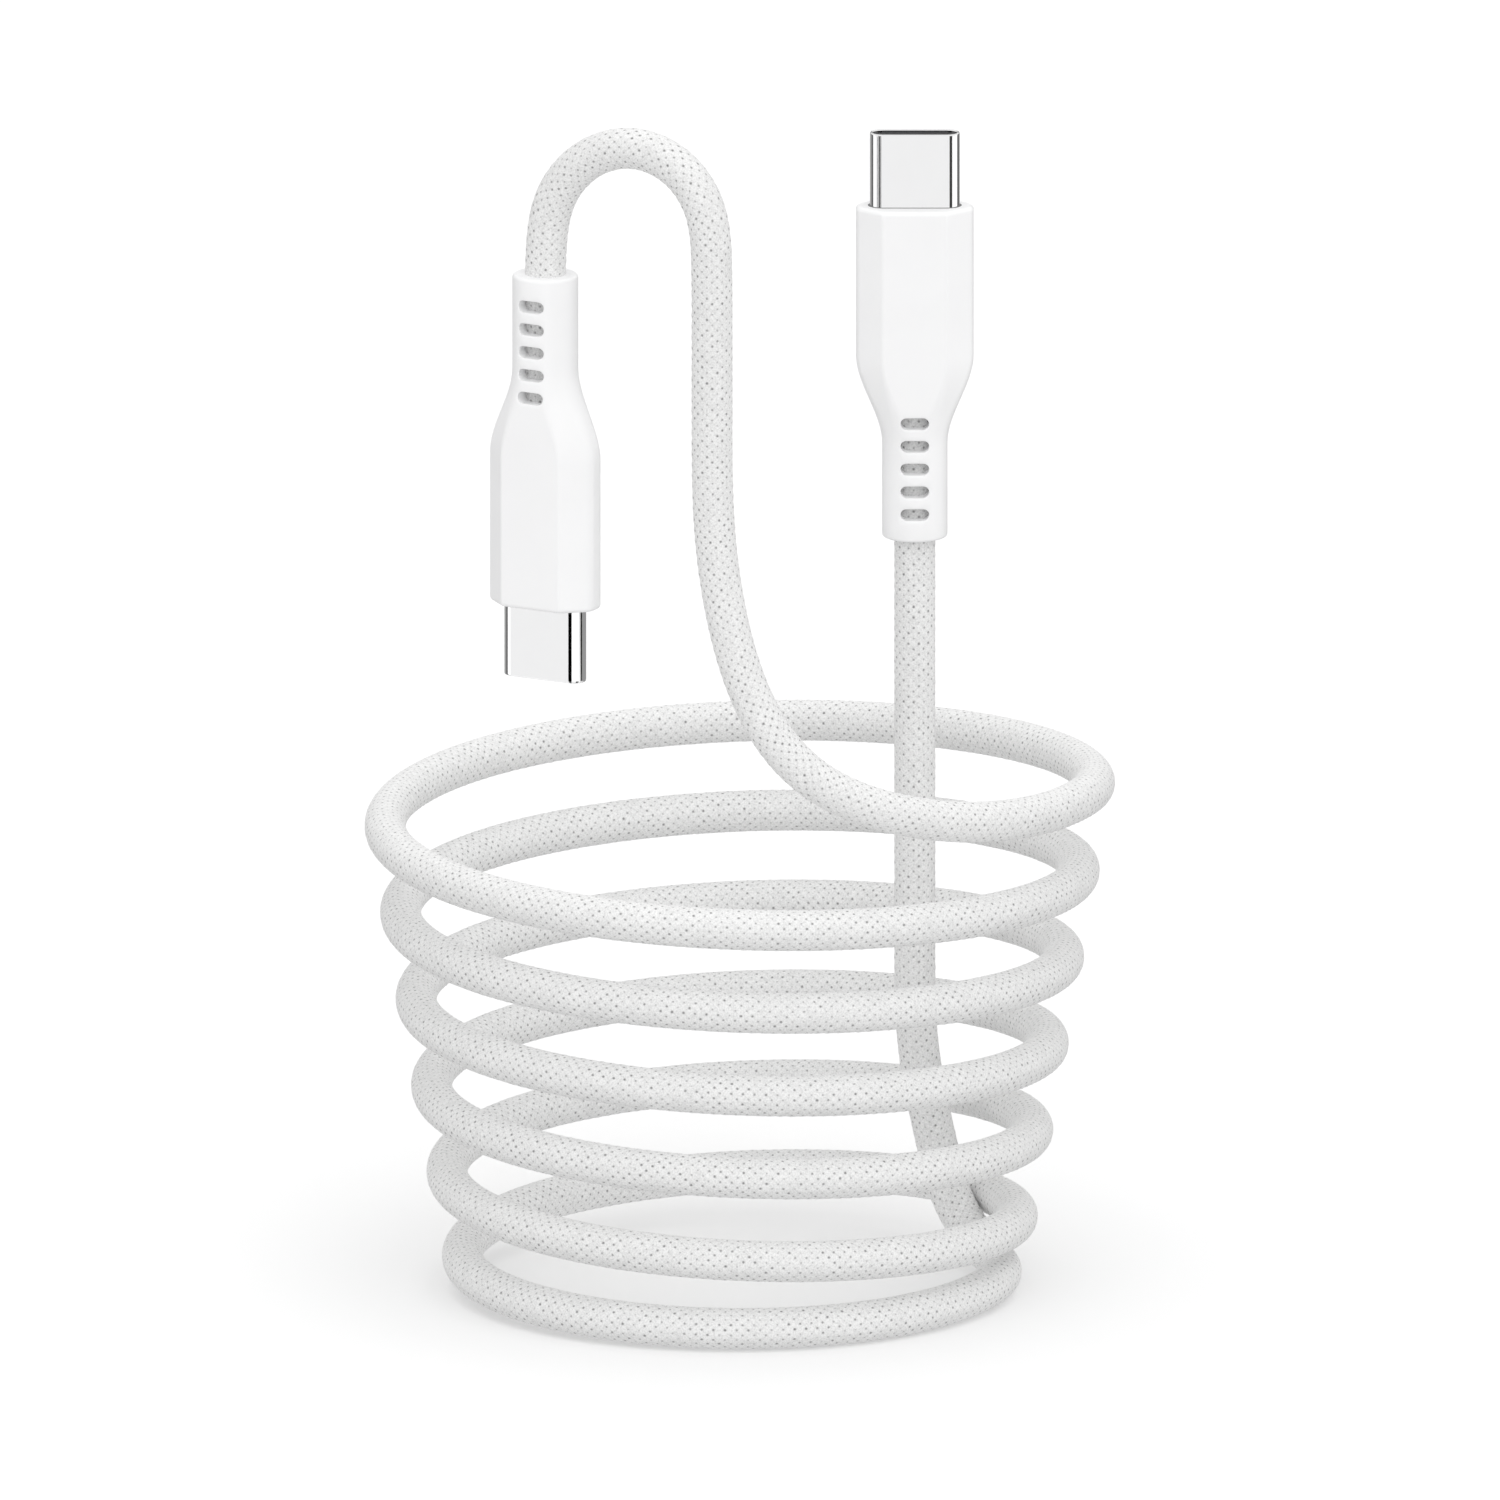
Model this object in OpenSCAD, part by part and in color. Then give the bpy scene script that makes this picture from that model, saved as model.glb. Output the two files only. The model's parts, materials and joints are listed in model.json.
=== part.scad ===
// Braided charging cable standing as an open conical coil, with the same moulded
// plug at both ends. Millimetres. +Z is up, +X is to the right and -Y is the front.
// The origin is the point on the floor under the coil's axis.
// A plug is drawn in its own frame: Z runs from the neck's mouth to the plug's tip,
// X across its wide direction and Y through its thickness.

/* [Cord] */
// Diameter of the braided cord
cord_d = 3.75; // [3.5:0.05:3.8]

/* [Coil] */
// Radius of the top turn at the cord's centre
coil_top_r = 32.9; // [31:0.1:35]
// Radius that each turn loses to the one above it
coil_shrink = 1.42; // [1:0.01:1.6]
// Height of the cord's centre where the top turn starts
coil_top_z = 47.5; // [46:0.1:50]
// Height that each turn falls
coil_pitch = 8.15; // [7.9:0.01:8.6]
// Number of turns
coil_turns = 5.9; // [5.8:0.1:6]

/* [Plug housing] */
// Length from the neck's mouth to the front face
housing_len = 31; // [30.8:0.1:33]
// Width of the body
body_w = 10.8; // [10.6:0.1:12]
// Thickness of the body
body_t = 6; // [5.8:0.1:7]
// Width of the body's flat front and back facets
body_flat_w = 6; // [5.6:0.1:6.4]
// Height of the body's narrow side facets
body_flat_t = 1.9; // [1.6:0.1:2.2]
// Width and thickness of the neck
neck_w = 6; // [5.8:0.1:6.4]
// Length of the straight slotted neck
neck_len = 8.6; // [8.4:0.1:9]
// Length of the curved stretch between the neck and the body
taper_len = 8.4; // [8:0.1:8.6]

/* [Strain relief slots] */
// Slots on each wide face of the neck
slot_count = 5; // [3:1:5]
// Distance from the mouth to the centre of the first slot
slot_start = 2.4; // [2.3:0.1:2.8]
// Distance between slot centres
slot_pitch = 2.15; // [1.9:0.05:2.2]
// Length of a slot across the neck
slot_w = 2.8; // [2.4:0.1:3]
// Height of a slot along the neck
slot_h = 1.1; // [0.8:0.1:1.2]

/* [Metal shell] */
// Width of the plug shell
shell_w = 8.25; // [8.2:0.01:8.3]
// Thickness of the plug shell
shell_t = 2.4; // [2.38:0.01:2.42]
// Thickness of the sheet metal
shell_wall = 0.16; // [0.14:0.01:0.18]
// Length of shell that stands out of the housing
shell_reach = 6.8; // [6.6:0.01:6.9]

/* [Contacts] */
// Distance between contact places
contact_pitch = 0.5; // [0.49:0.01:0.51]
// Width of a contact
contact_w = 0.26; // [0.22:0.01:0.27]
// Places in use in the upper row, counted from the plug's -X side
upper_places = [1, 4, 5, 6, 7, 9, 12];
// Places in use in the lower row, counted the same way
lower_places = [1, 4, 8, 9, 12];

/* [Hidden] */
cord_r = cord_d / 2;
coil_steps = 20;
coil_sides = 96;
tube_sides = 8;

// Where the neck's mouths stand, and how far plug A is turned about Z
plug_a_at = [-17.5, -19.8, 100.2];
plug_a_turn = -29;
plug_b_at = [16.4, 9, 68.9];

// Control points of the cord from plug A over the arch and down to the coil
hook_points = [
    [-17.5, -19.8, 83.2], [-17.5, -19.8, 88.2], [-17.5, -19.8, 93.2], [-17.5, -19.8, 98.2],
    [-17.5, -19.8, 103], [-16.9, -20.1, 107.9], [-13.9, -21.8, 112], [-9.5, -24.2, 113.8],
    [-5.1, -26.6, 112.4], [-2.4, -28.1, 108.4], [-2.2, -28.2, 103], [-2.2, -28.2, 98],
    [-2.2, -28.2, 93], [-2.2, -28.2, 88], [-2.2, -28.4, 83], [-2, -28.8, 78],
    [-1.4, -29.2, 73], [-0.4, -29.7, 68], [1.2, -30.1, 63], [3.8, -30.4, 58.2],
    [7.5, -30.2, 54.6], [12.2, -29.2, 52.2], [17, -27.1, 50.6], [21.6, -23.9, 49.5],
    [25.8, -19.7, 48.8], [29.2, -14.6, 48.4], [31.8, -9, 48.2]
];

// Control points of the cord from the coil's last turn up to plug B
riser_points = [
    [23.5, -8.2, 2], [24.6, -2.6, 2], [24, 2.4, 1.8], [21.8, 6.6, 3], [19.5, 9.4, 6.3],
    [18.4, 10.8, 11], [17.4, 10.3, 15.6], [16.7, 9.6, 20], [16.4, 9.2, 24.6],
    [16.4, 9, 29.6], [16.4, 9, 34.9], [16.4, 9, 40.2], [16.4, 9, 45.5], [16.4, 9, 50.8],
    [16.4, 9, 56], [16.4, 9, 61], [16.4, 9, 65.9], [16.4, 9, 70.9], [16.4, 9, 75.9],
    [16.4, 9, 80.9], [16.4, 9, 85.9]
];

// Stations along a plug, measured from the neck's mouth
grip = 12;              // the cord ends here, against the jacket end
ferrule_end = 16;
jacket_end_z = 16.4;
cavity_z = 17;
mould_z = 17.1;
can_z = 18.4;
card_z = 19.2;
tail_z = 23.6;
shell_rear = 24.2;
card_end = 25.9;
insulator_z = 26;
can_end = 26.4;
mould_end = 26.6;
cavity_end = 26.7;
plate_z = 27;
plate_end = 30.55;
arm_z = 30.6;
tongue_z = 31.2;
tip_z = housing_len + shell_reach;
insulator_end = tip_z - 0.4;
contact_end = tip_z - 0.85;
arm_end = tip_z - 1.05;
spring_z = tip_z - 5.65;
spring_end = tip_z - 1.15;

// Clearances between pieces of one plug
gap = 0.02;
bore_gap = 0.05;

// Rear shell, inner mould and the cavity that holds them
can_wall = 0.18;
can_w = shell_w + 2 * gap + 2 * can_wall;
can_t = shell_t + 2 * gap + 2 * can_wall;
mould_section = [9.5, 4.7, 5.3, 1.1];
cavity_section = [9.56, 4.76, 5.32, 1.12];
shell_hole_gap = 0.03;
ferrule_r = 2.15;
jacket_r = 1.7;
wire_hole_r = 1.9;
power_wire_r = 0.36;
signal_wire_r = 0.22;

// Insulator, contact and spring levels above the plug's mid plane
insulator_w = shell_w - 2 * shell_wall - 0.07;
insulator_t = shell_t - 2 * shell_wall - 0.06;
tongue_w = 6.9;
tongue_half = 0.42;
contact_low = 0.34;
contact_high = 0.5;
groove_low = 0.31;
groove_high = 0.54;
groove_w = contact_w + 0.06;
spring_low = 0.89;
spring_high = 0.98;
spring_w = 5.4;
finger_pitch = 0.9;
finger_gap = 0.2;
finger_root = 1.2;
card_half = 0.3;
card_w = 7.1;
// The middle of a row, between its 6th and 7th places
row_middle = 6.5;

// Parts on the card: the chip's size and place, and the small parts under it
chip_size = [2, 0.6, 2.2];
chip_z = 20.9;
passive_size = [0.8, 0.35, 1.2];
passive_x = [-3, -1.7, 0.9, 2.2];
passive_z = 21.8;

// The bump on a contact: its height, how far below the tip it starts, its length
bump_h = 0.1;
bump_from = 2.2;
bump_len = 0.9;

// Latch arms at the two sides of the tongue's cavity
arm_in = 3.52;
arm_out = 3.68;
arm_half = 0.35;
hook_in = 3.24;
hook_from = 1.6;
hook_len = 0.8;
plate_half = 0.08;
// Room in the insulator that the arms bend into, round the plate and round the springs
arm_room = [3.3, 4];
arm_room_half = 0.43;
plate_room = 0.1;
plate_room_out = 3.72;
spring_room = 0.1;

// ---- the coil's control points

coil_bottom_z = cord_r + 0.06;
// The wall's foot stands this much outside the last turn's end
coil_foot_out = 0.1;
// The fall eases out over this many turns, and this is where it starts to
coil_ease = 0.5;
coil_ease_start = (coil_top_z - coil_bottom_z) / coil_pitch - coil_ease / 2;

function coil_r(turn) = coil_top_r - coil_shrink * turn;

function coil_z(turn) =
    turn < coil_ease_start ? coil_top_z - coil_pitch * turn
    : turn < coil_ease_start + coil_ease
    ? coil_top_z - coil_pitch * turn
        + coil_pitch * pow(turn - coil_ease_start, 2) / (2 * coil_ease)
    : coil_bottom_z;

// A spline runs inside its control points, so these stand a little further out
function coil_point(turn) =
    let (out = 3 / (2 + cos(360 / coil_steps)))
    [out * coil_r(turn) * cos(360 * turn), out * coil_r(turn) * sin(360 * turn), coil_z(turn)];

coil_points = [for (i = [0:coil_steps * coil_turns]) coil_point(i / coil_steps)];

// ---- a tube swept along a cubic B-spline, with one ring at each knot

function unit(v) = v / norm(v);
function knot(c, i) = (c[i] + 4 * c[i + 1] + c[i + 2]) / 6;
function heading(c, i) = unit(c[i + 2] - c[i]);
function level(v, t) = unit(v - (v * t) * t);

// Ring normals carried along the curve without twist
function normals(c, side, i = 0, found = []) =
    i > len(c) - 3 ? found
    : let (n = level(side, heading(c, i))) normals(c, n, i + 1, concat(found, [n]));

module tube(c, r, side) {
    rings = len(c) - 2;
    n = normals(c, side);
    points = [for (i = [0:rings - 1]) for (k = [0:tube_sides - 1])
        let (a = 360 * k / tube_sides, b = cross(heading(c, i), n[i]))
        knot(c, i) + r * (cos(a) * n[i] + sin(a) * b)];
    walls = [for (i = [0:rings - 2]) for (k = [0:tube_sides - 1])
        let (m = (k + 1) % tube_sides, p = i * tube_sides, q = p + tube_sides)
        [p + m, p + k, q + k, q + m]];
    start = [for (k = [0:tube_sides - 1]) k];
    end = [for (k = [tube_sides - 1:-1:0]) (rings - 1) * tube_sides + k];
    polyhedron(points, concat(walls, [start, end]));
}

// ---- outlines

// A round-ended slot or shell outline
module stadium(w, t, fn = 48) {
    square([w - t, t], center = true);
    for (side = [-1, 1]) translate([side * (w - t) / 2, 0]) circle(d = t, $fn = fn);
}

// Corners of an eight-sided section: [width, thickness, front flat, side flat]
function octagon(s) = [
    [s[0], s[3]] / 2, [s[2], s[1]] / 2, [-s[2], s[1]] / 2, [-s[0], s[3]] / 2,
    [-s[0], -s[3]] / 2, [-s[2], -s[1]] / 2, [s[2], -s[1]] / 2, [s[0], -s[3]] / 2
];

function smooth(x) = x <= 0 ? 0 : x >= 1 ? 1 : x * x * (3 - 2 * x);

neck_section = [neck_w, neck_w - 0.05, 2.6, 2.4];
body_section = [body_w, body_t, body_flat_w, body_flat_t];

// The housing's section at a height above the mouth, drawn in at both ends
function housing_section(z, draw_in = 0) =
    let (s = smooth((z - neck_len) / taper_len))
    neck_section * (1 - s) + body_section * s - draw_in * [2, 2, 0.8, 0.8];

housing_stations = concat([[0, 0.3], [0.3, 0]],
    [for (i = [0:6]) [neck_len + i * taper_len / 6, 0]],
    [[housing_len - 0.4, 0], [housing_len, 0.35]]);

// ---- pieces of the cord

// The coil's whole outer shape: one leaning wall, as thick as the cord
module cord_coil() {
    top = coil_top_z + cord_r;
    bottom_r = coil_r(coil_turns) + coil_foot_out;
    color("gainsboro") rotate_extrude($fn = coil_sides) polygon([
        [bottom_r - cord_r, 0], [bottom_r + cord_r, 0],
        [bottom_r + cord_r, cord_r], [coil_top_r + cord_r, top - cord_r],
        [coil_top_r + cord_r, top], [coil_top_r - cord_r, top],
        [coil_top_r - cord_r, top - cord_r], [bottom_r - cord_r, cord_r]
    ]);
}

module cord_hook() {
    color("gainsboro") tube(concat(hook_points, [coil_points[0], coil_points[1]]), cord_r, [1, 0, 0]);
}

module cord_riser() {
    last = len(coil_points) - 1;
    ends = [coil_points[last - 1], coil_points[last]];
    color("gainsboro") tube(concat(ends, riser_points), cord_r, [0, 0, 1]);
}

// ---- pieces of a plug

// White moulded housing with the slotted neck that relieves the cord
module housing() {
    n = len(housing_stations);
    points = [for (s = housing_stations) for (p = octagon(housing_section(s[0], s[1])))
        [p[0], p[1], s[0]]];
    walls = [for (i = [0:n - 2]) for (k = [0:7])
        let (m = (k + 1) % 8) [8 * i + m, 8 * i + k, 8 * i + 8 + k, 8 * i + 8 + m]];
    ends = [[0, 1, 2, 3, 4, 5, 6, 7], [for (k = [7:-1:0]) 8 * n - 8 + k]];
    color("white") difference() {
        polyhedron(points, concat(walls, ends));
        translate([0, 0, -1]) cylinder(r = cord_r + bore_gap, h = grip + 1, $fn = 48);
        translate([0, 0, grip - 0.01]) cylinder(r = ferrule_r + bore_gap, h = cavity_z - grip + 0.02, $fn = 48);
        translate([0, 0, cavity_z]) linear_extrude(cavity_end - cavity_z) polygon(octagon(cavity_section));
        translate([0, 0, cavity_end - 0.01]) linear_extrude(housing_len)
            stadium(shell_w + 2 * shell_hole_gap, shell_t + 2 * shell_hole_gap);
        for (i = [0:slot_count - 1]) translate([0, 0, slot_start + i * slot_pitch])
            rotate([90, 0, 0]) linear_extrude(neck_w + 2, center = true) stadium(slot_w, slot_h, 24);
    }
}

// Block moulded round the rear shell, which locks it in the housing
module inner_mould() {
    color("ivory") difference() {
        translate([0, 0, mould_z]) linear_extrude(mould_end - mould_z) polygon(octagon(mould_section));
        translate([0, 0, can_z - gap]) linear_extrude(mould_end)
            stadium(can_w + 2 * gap, can_t + 2 * gap);
        translate([0, 0, mould_z - 1]) cylinder(r = wire_hole_r, h = 3, $fn = 40);
    }
}

// Metal sleeve round the card, over the back end of the plug shell
module rear_shell() {
    color("silver") translate([0, 0, can_z]) linear_extrude(can_end - can_z) difference() {
        stadium(can_w, can_t);
        stadium(shell_w + 2 * gap, shell_t + 2 * gap);
    }
}

// Drawn metal shell with rounded sides, open at the tip
module shell() {
    color("lightgray") translate([0, 0, shell_rear]) linear_extrude(tip_z - shell_rear) difference() {
        stadium(shell_w, shell_t);
        stadium(shell_w - 2 * shell_wall, shell_t - 2 * shell_wall);
    }
}

function place_x(place) = (place - row_middle) * contact_pitch;

// Dark insulator with the tongue's cavity and a groove for each contact
module insulator() {
    groove_t = groove_high - groove_low;
    color("dimgray") difference() {
        translate([0, 0, insulator_z]) linear_extrude(insulator_end - insulator_z)
            stadium(insulator_w, insulator_t);
        translate([-tongue_w / 2, -tongue_half, tongue_z]) cube([tongue_w, 2 * tongue_half, tip_z]);
        for (place = upper_places) translate([place_x(place) - groove_w / 2, groove_low, 0])
            cube([groove_w, groove_t, tip_z]);
        for (place = lower_places) translate([place_x(place) - groove_w / 2, -groove_high, 0])
            cube([groove_w, groove_t, tip_z]);
        for (side = [0, 1]) mirror([side, 0, 0])
            translate([arm_room[0], -arm_room_half, arm_z - gap])
                cube([arm_room[1] - arm_room[0], 2 * arm_room_half, tip_z]);
        translate([-plate_room_out, -plate_room, plate_z - gap])
            cube([2 * plate_room_out, 2 * plate_room, arm_z - plate_z + 2 * gap]);
        for (side = [0, 1]) mirror([0, side, 0])
            translate([-spring_w / 2 - spring_room, spring_low - gap, spring_z - spring_room])
                cube([spring_w + 2 * spring_room, shell_t, spring_end - spring_z + 2 * spring_room]);
    }
}

// One row of contacts: a strip each, with a bump near the tip that meets the tongue
module contact_row(places, side) {
    color("gold") mirror([0, side > 0 ? 0 : 1, 0])
        for (place = places) translate([place_x(place) - contact_w / 2, 0, 0]) {
            translate([0, contact_low, tail_z])
                cube([contact_w, contact_high - contact_low, contact_end - tail_z]);
            translate([0, contact_low - bump_h, contact_end - bump_from])
                cube([contact_w, bump_h + 0.01, bump_len]);
        }
}

// Grounding spring with slit fingers, between the insulator and the shell
module ground_spring(side) {
    color("silver") mirror([0, side > 0 ? 0 : 1, 0]) difference() {
        translate([-spring_w / 2, spring_low, spring_z])
            cube([spring_w, spring_high - spring_low, spring_end - spring_z]);
        for (i = [-2:2]) translate([i * finger_pitch - finger_gap / 2, 0, spring_z + finger_root])
            cube([finger_gap, shell_t, spring_end]);
    }
}

// Plate between the two rows that the latch arms spring from
module latch_plate() {
    color("silver") translate([-arm_out, -plate_half, plate_z])
        cube([2 * arm_out, 2 * plate_half, plate_end - plate_z]);
}

// Sprung side arm whose hook catches the socket's tongue
module latch_arm(side) {
    color("silver") mirror([side > 0 ? 0 : 1, 0, 0]) {
        translate([arm_in, -arm_half, arm_z]) cube([arm_out - arm_in, 2 * arm_half, arm_end - arm_z]);
        translate([hook_in, -arm_half, arm_end - hook_from])
            cube([arm_in - hook_in + 0.01, 2 * arm_half, hook_len]);
    }
}

// Small circuit board that the contacts and wires are soldered to
module card() {
    color("darkgreen") translate([-card_w / 2, -card_half, card_z])
        cube([card_w, 2 * card_half, card_end - card_z]);
}

module marker_chip() {
    color("black") translate([-chip_size[0] / 2, card_half + gap, chip_z]) cube(chip_size);
}

// Small resistors and capacitors on the card's lower face
module passives() {
    color("tan") for (x = passive_x)
        translate([x, -card_half - gap - passive_size[1], passive_z]) cube(passive_size);
}

// Crimped ring that grips the cord's inner jacket
module ferrule() {
    color("silver") translate([0, 0, grip + gap]) difference() {
        cylinder(r = ferrule_r, h = ferrule_end - grip - gap, $fn = 48);
        translate([0, 0, -1]) cylinder(r = jacket_r + gap, h = 10, $fn = 48);
    }
}

module jacket_end() {
    color("white") translate([0, 0, grip + gap])
        cylinder(r = jacket_r, h = jacket_end_z - grip - gap, $fn = 48);
}

// A conductor from its place in the jacket to its pad on the card
module wire(from, pad, r) {
    a = [from[0], from[1], jacket_end_z + gap];
    b = [pad[0], pad[1], card_z + 0.9];
    tube([a - [0, 0, 0.8], a, a + [0, 0, 0.8], (a + b) / 2, b, b + [0, 0, 0.7], b + [0, 0, 1.4]],
        r, [1, 0, 0]);
}

module wire_power() { color("red") wire([-0.75, 0.6], [-2.2, 0.7], power_wire_r); }
module wire_ground() { color("black") wire([0.75, 0.6], [2.2, 0.7], power_wire_r); }
module wire_config() { color("blue") wire([1.05, -0.6], [1.9, -0.56], signal_wire_r); }
module wires_data() {
    color("green") wire([-0.35, -0.9], [-0.6, -0.56], signal_wire_r);
    color("white") wire([0.35, -0.9], [0.6, -0.56], signal_wire_r);
}

// ---- the plugs in place

module at_a() {
    translate(plug_a_at) rotate([0, 0, plug_a_turn]) rotate([180, 0, 0]) children();
}

module at_b() {
    translate(plug_b_at) children();
}

cord_coil();
cord_hook();
cord_riser();
at_a() housing();  // plug_a_housing
at_b() housing();  // plug_b_housing
at_a() inner_mould();  // plug_a_inner_mould
at_b() inner_mould();  // plug_b_inner_mould
at_a() rear_shell();  // plug_a_rear_shell
at_b() rear_shell();  // plug_b_rear_shell
at_a() shell();  // plug_a_shell
at_b() shell();  // plug_b_shell
at_a() insulator();  // plug_a_insulator
at_b() insulator();  // plug_b_insulator
at_a() contact_row(upper_places, 1);  // plug_a_contacts_upper
at_b() contact_row(upper_places, 1);  // plug_b_contacts_upper
at_a() contact_row(lower_places, -1);  // plug_a_contacts_lower
at_b() contact_row(lower_places, -1);  // plug_b_contacts_lower
at_a() ground_spring(1);  // plug_a_spring_upper
at_b() ground_spring(1);  // plug_b_spring_upper
at_a() ground_spring(-1);  // plug_a_spring_lower
at_b() ground_spring(-1);  // plug_b_spring_lower
at_a() latch_plate();  // plug_a_latch_plate
at_b() latch_plate();  // plug_b_latch_plate
at_a() latch_arm(-1);  // plug_a_latch_left
at_b() latch_arm(-1);  // plug_b_latch_left
at_a() latch_arm(1);  // plug_a_latch_right
at_b() latch_arm(1);  // plug_b_latch_right
at_a() card();  // plug_a_card
at_b() card();  // plug_b_card
at_a() marker_chip();  // plug_a_marker_chip
at_b() marker_chip();  // plug_b_marker_chip
at_a() passives();  // plug_a_passives
at_b() passives();  // plug_b_passives
at_a() ferrule();  // plug_a_ferrule
at_b() ferrule();  // plug_b_ferrule
at_a() jacket_end();  // plug_a_jacket_end
at_b() jacket_end();  // plug_b_jacket_end
at_a() wire_power();  // plug_a_wire_power
at_b() wire_power();  // plug_b_wire_power
at_a() wire_ground();  // plug_a_wire_ground
at_b() wire_ground();  // plug_b_wire_ground
at_a() wire_config();  // plug_a_wire_config
at_b() wire_config();  // plug_b_wire_config
at_a() wires_data();  // plug_a_wires_data
at_b() wires_data();  // plug_b_wires_data
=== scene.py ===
"""Braided charging cable standing as an open conical coil, with a moulded plug at each end.

The camera and the cord come first, then the plugs' housings and metal shells, then every
material, what each piece rides on, and the studio. Lengths are in metres, apart from values
whose names end in _MM and shapes drawn in a plug's own frame, which are in millimetres.
"""

import json
import math

import bpy
import numpy as np
from mathutils import Matrix, Vector


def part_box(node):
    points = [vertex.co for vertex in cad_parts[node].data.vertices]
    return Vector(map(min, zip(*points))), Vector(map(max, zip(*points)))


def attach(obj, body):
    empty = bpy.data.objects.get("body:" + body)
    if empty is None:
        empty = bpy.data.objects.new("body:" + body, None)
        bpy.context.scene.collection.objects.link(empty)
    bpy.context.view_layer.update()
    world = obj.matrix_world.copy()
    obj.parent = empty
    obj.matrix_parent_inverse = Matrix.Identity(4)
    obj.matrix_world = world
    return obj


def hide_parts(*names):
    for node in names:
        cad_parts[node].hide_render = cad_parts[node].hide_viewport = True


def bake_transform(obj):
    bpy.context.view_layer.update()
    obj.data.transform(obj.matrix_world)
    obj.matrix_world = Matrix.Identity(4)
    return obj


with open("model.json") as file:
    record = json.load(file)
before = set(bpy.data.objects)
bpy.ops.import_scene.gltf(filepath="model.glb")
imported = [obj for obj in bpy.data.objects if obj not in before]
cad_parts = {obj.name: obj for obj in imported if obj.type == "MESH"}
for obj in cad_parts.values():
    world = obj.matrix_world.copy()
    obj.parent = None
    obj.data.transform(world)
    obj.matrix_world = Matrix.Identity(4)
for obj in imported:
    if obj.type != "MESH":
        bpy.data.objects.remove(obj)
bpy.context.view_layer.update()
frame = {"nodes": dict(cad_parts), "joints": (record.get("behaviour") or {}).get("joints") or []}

scene = bpy.context.scene
nodes = frame["nodes"]
MM = 0.001

# ---- camera

VIEW_ELEVATION = math.radians(13.6)
VIEW_WIDTH = 0.13762
VIEW_CENTRE = Vector((0.00128, 0, 0.05063))
VIEW_DISTANCE = 0.6


def add_camera():
    """A level view along +Y from a little above, without perspective."""
    data = bpy.data.cameras.new("camera")
    data.type = "ORTHO"
    data.ortho_scale = VIEW_WIDTH
    data.clip_start = 0.01
    data.clip_end = 5
    camera = bpy.data.objects.new("camera", data)
    scene.collection.objects.link(camera)
    back = Vector((0, -math.cos(VIEW_ELEVATION), math.sin(VIEW_ELEVATION)))
    camera.location = VIEW_CENTRE + VIEW_DISTANCE * back
    camera.rotation_mode = "QUATERNION"
    camera.rotation_quaternion = (-back).to_track_quat("-Z", "Y")
    scene.camera = camera


add_camera()

# ---- the cord's route

CORD_R = 0.001875
COIL_TOP_R = 0.0329
COIL_SHRINK = 0.00142
COIL_TOP_Z = 0.0475
COIL_PITCH = 0.00815
COIL_BOTTOM_Z = CORD_R + 0.00006
COIL_TURNS = 5.9
COIL_STEPS = 20
# The share of a turn over which the coil's fall eases off at the floor
COIL_EASE = 0.5

# Control points from plug A over the arch and down to the coil's top turn
HOOK_POINTS = [
    (-0.0175, -0.0198, 0.0832),
    (-0.0175, -0.0198, 0.0882),
    (-0.0175, -0.0198, 0.0932),
    (-0.0175, -0.0198, 0.0982),
    (-0.0175, -0.0198, 0.1030),
    (-0.0169, -0.0201, 0.1079),
    (-0.0139, -0.0218, 0.1120),
    (-0.0095, -0.0242, 0.1138),
    (-0.0051, -0.0266, 0.1124),
    (-0.0024, -0.0281, 0.1084),
    (-0.0022, -0.0282, 0.1030),
    (-0.0022, -0.0282, 0.0980),
    (-0.0022, -0.0282, 0.0930),
    (-0.0022, -0.0282, 0.0880),
    (-0.0022, -0.0284, 0.0830),
    (-0.0020, -0.0288, 0.0780),
    (-0.0014, -0.0292, 0.0730),
    (-0.0004, -0.0297, 0.0680),
    (0.0012, -0.0301, 0.0630),
    (0.0038, -0.0304, 0.0582),
    (0.0075, -0.0302, 0.0546),
    (0.0122, -0.0292, 0.0522),
    (0.0170, -0.0271, 0.0506),
    (0.0216, -0.0239, 0.0495),
    (0.0258, -0.0197, 0.0488),
    (0.0292, -0.0146, 0.0484),
    (0.0318, -0.0090, 0.0482),
]

# Control points from the coil's last turn up to plug B
RISER_POINTS = [
    (0.0235, -0.0082, 0.0020),
    (0.0246, -0.0026, 0.0020),
    (0.0240, 0.0024, 0.0018),
    (0.0218, 0.0066, 0.0030),
    (0.0195, 0.0094, 0.0063),
    (0.0184, 0.0108, 0.0110),
    (0.0174, 0.0103, 0.0156),
    (0.0167, 0.0096, 0.0200),
    (0.0164, 0.0092, 0.0246),
    (0.0164, 0.0090, 0.0296),
    (0.0164, 0.0090, 0.0349),
    (0.0164, 0.0090, 0.0402),
    (0.0164, 0.0090, 0.0455),
    (0.0164, 0.0090, 0.0508),
    (0.0164, 0.0090, 0.0560),
    (0.0164, 0.0090, 0.0610),
    (0.0164, 0.0090, 0.0659),
    (0.0164, 0.0090, 0.0709),
    (0.0164, 0.0090, 0.0759),
    (0.0164, 0.0090, 0.0809),
    (0.0164, 0.0090, 0.0859),
]


def coil_point(turn):
    """A control point of the coil, a little outside the line that the spline follows."""
    out = 3 / (2 + math.cos(2 * math.pi / COIL_STEPS))
    radius = out * (COIL_TOP_R - COIL_SHRINK * turn)
    ease_start = (COIL_TOP_Z - COIL_BOTTOM_Z) / COIL_PITCH - COIL_EASE / 2
    height = COIL_TOP_Z - COIL_PITCH * turn
    if turn >= ease_start + COIL_EASE:
        height = COIL_BOTTOM_Z
    elif turn > ease_start:
        height += COIL_PITCH * (turn - ease_start) ** 2 / (2 * COIL_EASE)
    angle = 2 * math.pi * turn
    return radius * math.cos(angle), radius * math.sin(angle), height


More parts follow.
